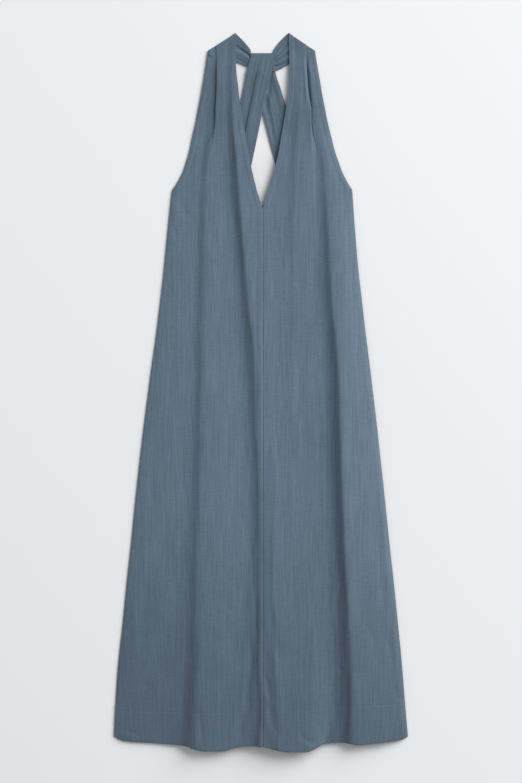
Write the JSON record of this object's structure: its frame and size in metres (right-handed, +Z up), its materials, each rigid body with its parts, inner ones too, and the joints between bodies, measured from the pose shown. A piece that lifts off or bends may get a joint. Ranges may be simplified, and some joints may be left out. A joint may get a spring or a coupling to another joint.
{
  "type": "midi dress",
  "caption": "Halter-neck A-line midi dress laid flat: pleated wide shoulders, deep V front with centre seam, neck band, looped back strap.",
  "frame": {"origin": "middle of the dress's outline, on the surface that the dress lies on", "axes": "+Y up the dress from hem to neck, +X to the right as seen from above, +Z up from the surface, out of the front of the dress"},
  "size_m": [0.5232, 1.2753, 0.0247],
  "materials": {
    "linen": "plain-woven mid-weight linen, matt blue-grey, slightly slubbed",
    "sewing_thread": "matched polyester sewing thread, low sheen"
  },
  "bodies": {
    "root": {"front_left": "linen", "front_right": "linen", "back": "linen", "neck_band": "linen", "back_strap": "linen"}
  },
  "joints": []
}
